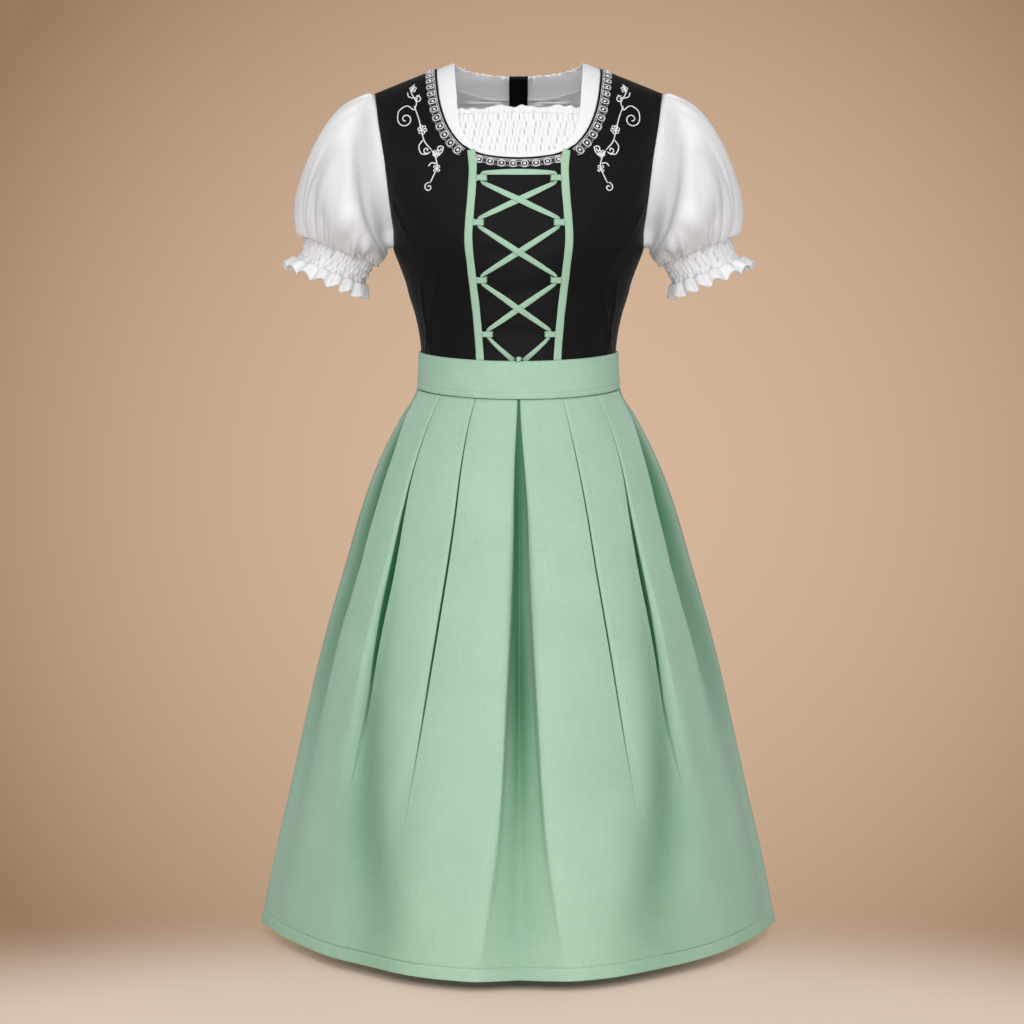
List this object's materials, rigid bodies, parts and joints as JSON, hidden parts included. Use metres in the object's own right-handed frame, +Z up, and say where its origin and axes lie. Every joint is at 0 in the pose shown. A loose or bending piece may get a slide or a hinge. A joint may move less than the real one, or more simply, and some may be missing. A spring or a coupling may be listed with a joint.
{
  "type": "dirndl dress with puff-sleeve blouse",
  "caption": "Dirndl in the form it has when worn: laced black bodice, mint waistband and pleated midi skirt, over a white blouse with puff sleeves and a smocked neck.",
  "frame": {"origin": "midway between the two shoulders, where the shoulder lines would meet the garment's middle plane, and where the wearer carries it", "axes": "+Z up, the front faces -Y, and +X is the wearer's left"},
  "size_m": [0.6708, 0.5899, 1.1113],
  "materials": {
    "black_cloth": "satin-faced cotton",
    "mint_cloth": "soft satin",
    "white_cloth": "fine plain cotton",
    "silver_lace": "metallic lace"
  },
  "bodies": {
    "root": {"bodice_front_left": "black_cloth", "bodice_front_right": "black_cloth", "bodice_centre_front": "black_cloth", "bodice_back_left": "black_cloth", "bodice_back_right": "black_cloth", "back_neck_tab": "black_cloth", "waistband_front": "mint_cloth", "waistband_back": "mint_cloth", "skirt_front": "mint_cloth", "skirt_back": "mint_cloth", "front_strap_left": "mint_cloth", "front_strap_right": "mint_cloth", "lacing_ribbon": "mint_cloth", "lacing_knot": "mint_cloth", "lacing_loop_left_1": "mint_cloth", "lacing_loop_left_2": "mint_cloth", "lacing_loop_left_3": "mint_cloth", "lacing_loop_left_4": "mint_cloth", "lacing_loop_right_1": "mint_cloth", "lacing_loop_right_2": "mint_cloth", "lacing_loop_right_3": "mint_cloth", "lacing_loop_right_4": "mint_cloth", "blouse_front": "white_cloth", "blouse_back": "white_cloth", "blouse_neck_band_front": "white_cloth", "blouse_neck_band_back": "white_cloth", "blouse_smocked_front": "white_cloth", "sleeve_left": "white_cloth", "sleeve_right": "white_cloth", "sleeve_cuff_left": "white_cloth", "sleeve_cuff_right": "white_cloth", "neck_lace_left": "silver_lace", "neck_lace_centre": "silver_lace", "neck_lace_right": "silver_lace"}
  },
  "joints": []
}
